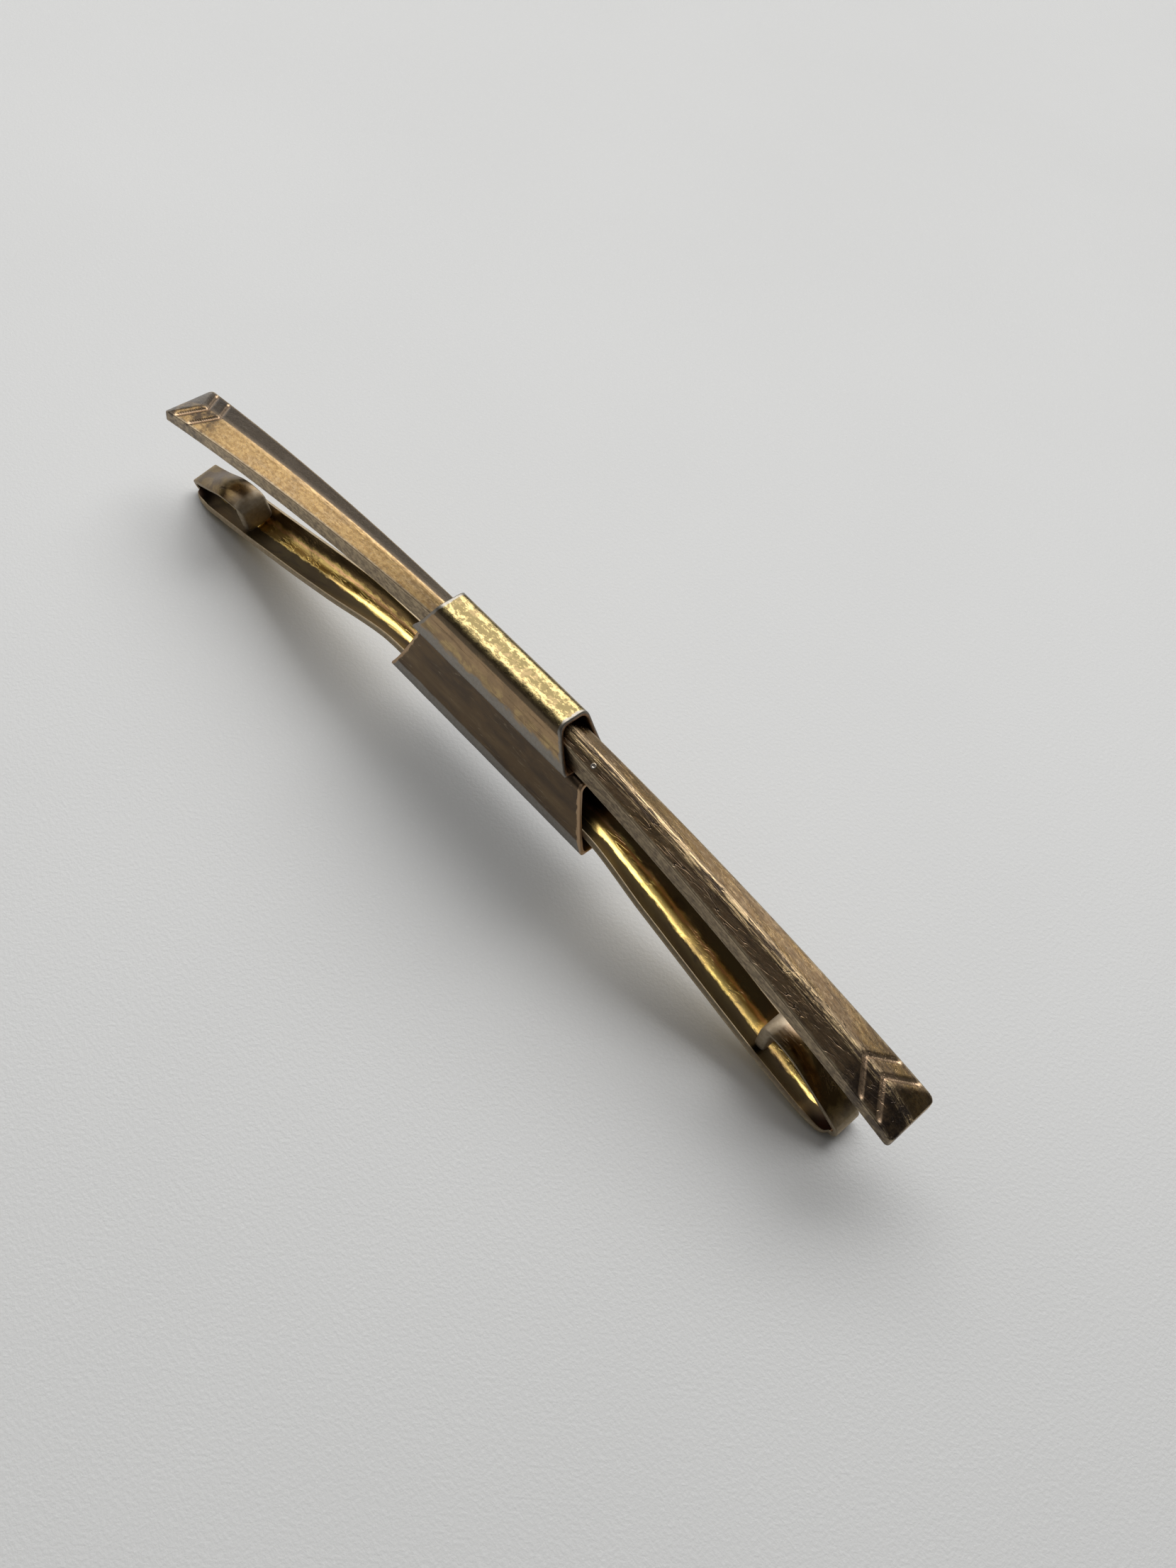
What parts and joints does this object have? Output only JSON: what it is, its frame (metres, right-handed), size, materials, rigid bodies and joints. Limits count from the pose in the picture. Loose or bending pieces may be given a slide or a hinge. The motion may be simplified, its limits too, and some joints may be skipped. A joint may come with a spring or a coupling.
{
  "type": "collar bar",
  "caption": "Slide-on collar bar: arched roof-section front bar held in a mitred double sleeve, with a trough-section back spring whose arms fold back into hooked tongues.",
  "frame": {"origin": "middle of the bar's length and width, on the plane that the two spring feet stand on", "axes": "+X along the bar, +Y across it, +Z out of the front of the bar"},
  "size_m": [0.054, 0.003, 0.0096],
  "materials": {
    "aged_brass": "satin, aged",
    "worn_gilt": "bright, pitted",
    "brown_gilt": "satin, tarnished",
    "spring_gold": "polished"
  },
  "bodies": {
    "root": {"front_bar": "aged_brass", "front_sleeve": "worn_gilt", "back_sleeve": "brown_gilt", "spring_root": "spring_gold"},
    "right_arm": {"right_spring_arm": "spring_gold"},
    "left_arm": {"left_spring_arm": "spring_gold"}
  },
  "joints": [
    {"name": "right_arm_flex", "type": "hinge", "parent": "root", "child": "right_arm", "pos_m": [0.0073, 0, 0.00374], "axis": [0, 1, 0], "range_deg": [0, 6], "stiffness_Nm_per_rad": 0.02},
    {"name": "left_arm_flex", "type": "hinge", "parent": "root", "child": "left_arm", "pos_m": [-0.0073, 0, 0.00374], "axis": [0, -1, 0], "range_deg": [0, 6], "stiffness_Nm_per_rad": 0.02}
  ]
}
